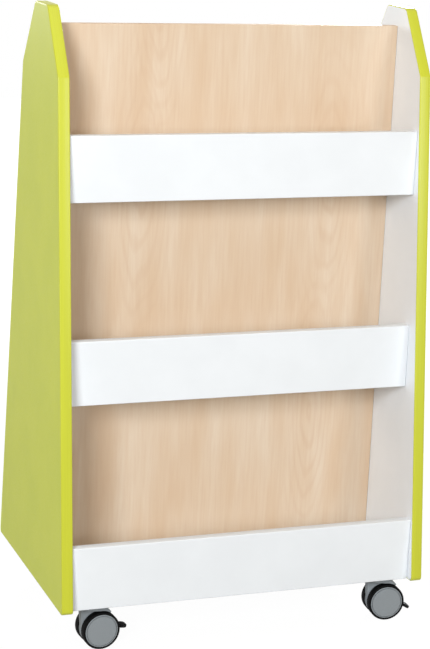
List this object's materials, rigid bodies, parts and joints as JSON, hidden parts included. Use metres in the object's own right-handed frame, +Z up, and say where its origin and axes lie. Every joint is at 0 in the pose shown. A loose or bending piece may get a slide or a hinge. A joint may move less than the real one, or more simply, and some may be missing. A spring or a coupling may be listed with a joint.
{
  "type": "mobile bookcase",
  "caption": "Double-sided A-frame bookcase on braked swivel casters, with lime side panels, a maple-look centre panel and shelves closed in front by white retaining lips.",
  "frame": {"origin": "on the floor, below the middle of the whole box: the case itself is centred 2.6 mm to the left of it, because two brake pedals reach past its right side", "axes": "+Z up, -Y towards the front shown in the picture, +X to the right seen from the front"},
  "size_m": [0.6052, 0.3802, 0.976],
  "materials": {
    "lime_laminate_board": "satin lime melamine face, white inner face",
    "lime_edge_band": "satin lime ABS edging, rounded edges",
    "white_laminate_board": "satin white melamine",
    "maple_laminate_board": "satin maple-look melamine with upright grain",
    "grey_nylon": "moulded mid grey nylon",
    "black_nylon": "moulded black nylon",
    "black_tyre": "matt black soft tread",
    "zinc_plated_steel": "bright zinc plate"
  },
  "bodies": {
    "case": {"left_side_panel": "lime_laminate_board", "right_side_panel": "lime_laminate_board", "left_edge_band": "lime_edge_band", "right_edge_band": "lime_edge_band", "centre_panel": "maple_laminate_board", "bottom_board": "white_laminate_board", "front_bottom_lip": "white_laminate_board", "front_middle_lip": "white_laminate_board", "front_top_lip": "white_laminate_board", "front_middle_shelf": "white_laminate_board", "front_top_shelf": "white_laminate_board", "rear_bottom_lip": "white_laminate_board", "rear_middle_lip": "white_laminate_board", "rear_top_lip": "white_laminate_board", "rear_middle_shelf": "white_laminate_board", "rear_top_shelf": "white_laminate_board", "front_left_caster_plate": "zinc_plated_steel", "front_left_caster_kingpin": "zinc_plated_steel", "front_right_caster_plate": "zinc_plated_steel", "front_right_caster_kingpin": "zinc_plated_steel", "rear_left_caster_plate": "zinc_plated_steel", "rear_left_caster_kingpin": "zinc_plated_steel", "rear_right_caster_plate": "zinc_plated_steel", "rear_right_caster_kingpin": "zinc_plated_steel"},
    "front_left_caster": {"front_left_caster_housing": "grey_nylon", "front_left_caster_axle": "zinc_plated_steel"},
    "front_left_caster_front_wheel": {"front_left_caster_front_wheel": "grey_nylon", "front_left_caster_front_tyre": "black_tyre"},
    "front_left_caster_rear_wheel": {"front_left_caster_rear_wheel": "grey_nylon", "front_left_caster_rear_tyre": "black_tyre"},
    "front_left_caster_brake": {"front_left_caster_brake_pedal": "black_nylon"},
    "front_right_caster": {"front_right_caster_housing": "grey_nylon", "front_right_caster_axle": "zinc_plated_steel"},
    "front_right_caster_front_wheel": {"front_right_caster_front_wheel": "grey_nylon", "front_right_caster_front_tyre": "black_tyre"},
    "front_right_caster_rear_wheel": {"front_right_caster_rear_wheel": "grey_nylon", "front_right_caster_rear_tyre": "black_tyre"},
    "front_right_caster_brake": {"front_right_caster_brake_pedal": "black_nylon"},
    "rear_left_caster": {"rear_left_caster_housing": "grey_nylon", "rear_left_caster_axle": "zinc_plated_steel"},
    "rear_left_caster_front_wheel": {"rear_left_caster_front_wheel": "grey_nylon", "rear_left_caster_front_tyre": "black_tyre"},
    "rear_left_caster_rear_wheel": {"rear_left_caster_rear_wheel": "grey_nylon", "rear_left_caster_rear_tyre": "black_tyre"},
    "rear_left_caster_brake": {"rear_left_caster_brake_pedal": "black_nylon"},
    "rear_right_caster": {"rear_right_caster_housing": "grey_nylon", "rear_right_caster_axle": "zinc_plated_steel"},
    "rear_right_caster_front_wheel": {"rear_right_caster_front_wheel": "grey_nylon", "rear_right_caster_front_tyre": "black_tyre"},
    "rear_right_caster_rear_wheel": {"rear_right_caster_rear_wheel": "grey_nylon", "rear_right_caster_rear_tyre": "black_tyre"},
    "rear_right_caster_brake": {"rear_right_caster_brake_pedal": "black_nylon"}
  },
  "joints": [
    {"name": "front_left_caster_swivel", "type": "hinge", "parent": "case", "child": "front_left_caster", "pos_m": [-0.24507, -0.13545, 0.06], "axis": [0, 0, 1], "continuous": true},
    {"name": "front_left_caster_front_wheel_spin", "type": "hinge", "parent": "front_left_caster", "child": "front_left_caster_front_wheel", "pos_m": [-0.22861, -0.1343, 0.03], "axis": [-0.0698, 0.9976, 0], "continuous": true},
    {"name": "front_left_caster_rear_wheel_spin", "type": "hinge", "parent": "front_left_caster", "child": "front_left_caster_rear_wheel", "pos_m": [-0.22861, -0.1343, 0.03], "axis": [-0.0698, 0.9976, 0], "continuous": true},
    {"name": "front_left_caster_brake_press", "type": "hinge", "parent": "front_left_caster", "child": "front_left_caster_brake", "pos_m": [-0.21664, -0.13347, 0.024], "axis": [-0.0698, 0.9976, 0], "range_deg": [0, 24]},
    {"name": "front_right_caster_swivel", "type": "hinge", "parent": "case", "child": "front_right_caster", "pos_m": [0.23993, -0.13545, 0.06], "axis": [0, 0, 1], "continuous": true},
    {"name": "front_right_caster_front_wheel_spin", "type": "hinge", "parent": "front_right_caster", "child": "front_right_caster_front_wheel", "pos_m": [0.25637, -0.13689, 0.03], "axis": [0.0872, 0.9962, 0], "continuous": true},
    {"name": "front_right_caster_rear_wheel_spin", "type": "hinge", "parent": "front_right_caster", "child": "front_right_caster_rear_wheel", "pos_m": [0.25637, -0.13689, 0.03], "axis": [0.0872, 0.9962, 0], "continuous": true},
    {"name": "front_right_caster_brake_press", "type": "hinge", "parent": "front_right_caster", "child": "front_right_caster_brake", "pos_m": [0.26832, -0.13794, 0.024], "axis": [0.0872, 0.9962, 0], "range_deg": [-24, 0]},
    {"name": "rear_left_caster_swivel", "type": "hinge", "parent": "case", "child": "rear_left_caster", "pos_m": [-0.24507, 0.13545, 0.06], "axis": [0, 0, 1], "continuous": true},
    {"name": "rear_left_caster_front_wheel_spin", "type": "hinge", "parent": "rear_left_caster", "child": "rear_left_caster_front_wheel", "pos_m": [-0.22859, 0.13459, 0.03], "axis": [0.0523, 0.9986, 0], "continuous": true},
    {"name": "rear_left_caster_rear_wheel_spin", "type": "hinge", "parent": "rear_left_caster", "child": "rear_left_caster_rear_wheel", "pos_m": [-0.22859, 0.13459, 0.03], "axis": [0.0523, 0.9986, 0], "continuous": true},
    {"name": "rear_left_caster_brake_press", "type": "hinge", "parent": "rear_left_caster", "child": "rear_left_caster_brake", "pos_m": [-0.21661, 0.13396, 0.024], "axis": [0.0523, 0.9986, 0], "range_deg": [0, 24]},
    {"name": "rear_right_caster_swivel", "type": "hinge", "parent": "case", "child": "rear_right_caster", "pos_m": [0.23993, 0.13545, 0.06], "axis": [0, 0, 1], "continuous": true},
    {"name": "rear_right_caster_front_wheel_spin", "type": "hinge", "parent": "rear_right_caster", "child": "rear_right_caster_front_wheel", "pos_m": [0.25634, 0.13718, 0.03], "axis": [-0.1045, 0.9945, 0], "continuous": true},
    {"name": "rear_right_caster_rear_wheel_spin", "type": "hinge", "parent": "rear_right_caster", "child": "rear_right_caster_rear_wheel", "pos_m": [0.25634, 0.13718, 0.03], "axis": [-0.1045, 0.9945, 0], "continuous": true},
    {"name": "rear_right_caster_brake_press", "type": "hinge", "parent": "rear_right_caster", "child": "rear_right_caster_brake", "pos_m": [0.26827, 0.13843, 0.024], "axis": [-0.1045, 0.9945, 0], "range_deg": [-24, 0]}
  ]
}
